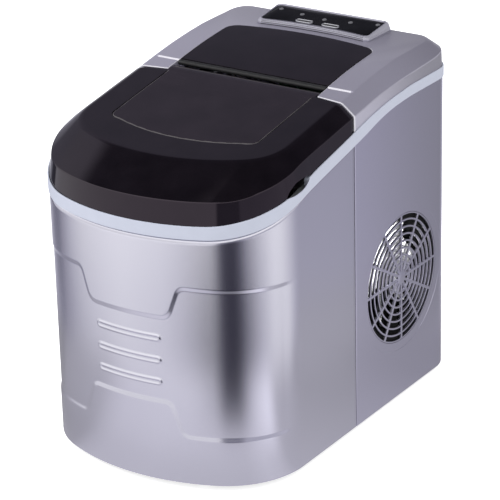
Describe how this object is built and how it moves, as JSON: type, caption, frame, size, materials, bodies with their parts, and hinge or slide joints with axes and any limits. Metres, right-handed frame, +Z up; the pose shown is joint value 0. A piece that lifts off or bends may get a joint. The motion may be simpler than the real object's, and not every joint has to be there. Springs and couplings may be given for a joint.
{
  "type": "countertop ice maker",
  "caption": "Countertop ice maker: silver cabinet with bowed embossed front, hinged smoked lid over tub and basket, tilting water tray with finger evaporator, side fan grille and top keys.",
  "frame": {"origin": "middle of the footprint, on the plane the feet stand on", "axes": "+Z up, front faces -Y, +X to the right seen from the front"},
  "size_m": [0.244, 0.348, 0.3289],
  "materials": {
    "silver_front": "satin metallic silver paint",
    "silver_side": "satin metallic grey-silver paint",
    "pale_trim": "pale silver moulded plastic",
    "cover_grey": "satin metallic grey-silver paint on plastic",
    "smoked": "smoked translucent plastic, polished",
    "black_gloss": "black polished plastic",
    "button_silver": "black oval key with a silver rim",
    "lens": "clear lens",
    "black_plastic": "moulded black plastic",
    "rubber": "moulded rubber",
    "tub_grey": "moulded grey plastic",
    "basket_clear": "frosted translucent plastic",
    "white_plastic": "moulded white plastic",
    "hose": "silicone hose",
    "steel": "zinc plated steel",
    "nickel": "nickel plated copper",
    "copper": "drawn copper",
    "aluminium": "thin rolled fins",
    "compressor_black": "black enamel",
    "valve": "brass body with a painted coil",
    "pcb": "green circuit board",
    "foam": "expanded foam"
  },
  "bodies": {
    "cabinet": {"base_screws": "steel", "base_tray": "black_plastic", "board_standoffs": "steel", "capillary_tube": "copper", "compressor": "compressor_black", "compressor_grommets": "rubber", "compressor_plate": "black_plastic", "condenser": "aluminium", "condenser_stand": "steel", "console_faceplate": "black_gloss", "console_housing": "cover_grey", "control_board": "pcb", "cord_gland": "black_plastic", "discharge_tube": "copper", "display_board": "pcb", "drain_socket": "black_plastic", "evaporator_fingers": "nickel", "evaporator_tube": "nickel", "fan_grille": "silver_side", "fan_motor": "steel", "fan_shroud": "black_plastic", "filter_drier": "copper", "foam_jacket": "foam", "front_panel": "silver_front", "hinge_brackets": "black_plastic", "hot_gas_tube": "copper", "hot_gas_valve": "valve", "ice_full_sensors": "black_plastic", "ice_slide": "tub_grey", "indicator_lenses": "lens", "inlet_tee": "copper", "inner_tub": "tub_grey", "liquid_tube": "copper", "mechanism_frame": "tub_grey", "pump_hose": "hose", "rear_housing": "silver_side", "rear_window_panel": "smoked", "rubber_feet": "rubber", "suction_tube": "copper", "top_cover": "cover_grey", "top_trim_band": "pale_trim", "tray_motor": "black_plastic", "water_level_sensor": "black_plastic", "water_pump": "black_plastic"},
    "lid": {"lid_shell": "smoked", "lid_inner_frame": "black_plastic", "lid_hinge_pins": "steel"},
    "power_button": {"power_button": "button_silver"},
    "select_button": {"select_button": "button_silver"},
    "fan": {"fan_rotor": "black_plastic"},
    "water_tray": {"water_tray": "white_plastic"},
    "ice_shovel": {"ice_shovel": "white_plastic"},
    "ice_basket": {"ice_basket": "basket_clear"},
    "ice_scoop": {"ice_scoop": "basket_clear"},
    "drain_plug": {"drain_plug": "rubber"},
    "pump_impeller": {"pump_impeller": "white_plastic"}
  },
  "joints": [
    {"name": "lid_hinge", "type": "hinge", "parent": "cabinet", "child": "lid", "pos_m": [0, 0.0175, 0.3032], "axis": [-1, 0, 0], "range_deg": [0, 105]},
    {"name": "power_press", "type": "slide", "parent": "cabinet", "child": "power_button", "axis": [0, 0.1175, -0.9931], "range_m": [0, 0.001], "stiffness_N_per_m": 600},
    {"name": "select_press", "type": "slide", "parent": "cabinet", "child": "select_button", "axis": [0, 0.1175, -0.9931], "range_m": [0, 0.001], "stiffness_N_per_m": 600},
    {"name": "fan_spin", "type": "hinge", "parent": "cabinet", "child": "fan", "pos_m": [0.099, 0.0804, 0.1214], "axis": [1, 0, 0], "continuous": true},
    {"name": "tray_tilt", "type": "hinge", "parent": "cabinet", "child": "water_tray", "pos_m": [0, 0.04, 0.254], "axis": [1, 0, 0], "range_deg": [0, 75]},
    {"name": "shovel_swing", "type": "hinge", "parent": "cabinet", "child": "ice_shovel", "pos_m": [0, -0.008, 0.272], "axis": [-1, 0, 0], "range_deg": [0, 45]},
    {"name": "basket_lift", "type": "slide", "parent": "cabinet", "child": "ice_basket", "axis": [0, 0, 1], "range_m": [0, 0.05]},
    {"name": "scoop_lift", "type": "slide", "parent": "ice_basket", "child": "ice_scoop", "axis": [0, 0, 1], "range_m": [0, 0.05]},
    {"name": "drain_pull", "type": "slide", "parent": "cabinet", "child": "drain_plug", "axis": [-1, 0, 0], "range_m": [0, 0.018]},
    {"name": "impeller_spin", "type": "hinge", "parent": "cabinet", "child": "pump_impeller", "pos_m": [-0.095, -0.012, 0.04], "axis": [0, 0, 1], "continuous": true}
  ],
  "couplings": [
    {"joint": "shovel_swing", "follows": "tray_tilt", "ratio": 0.6}
  ]
}
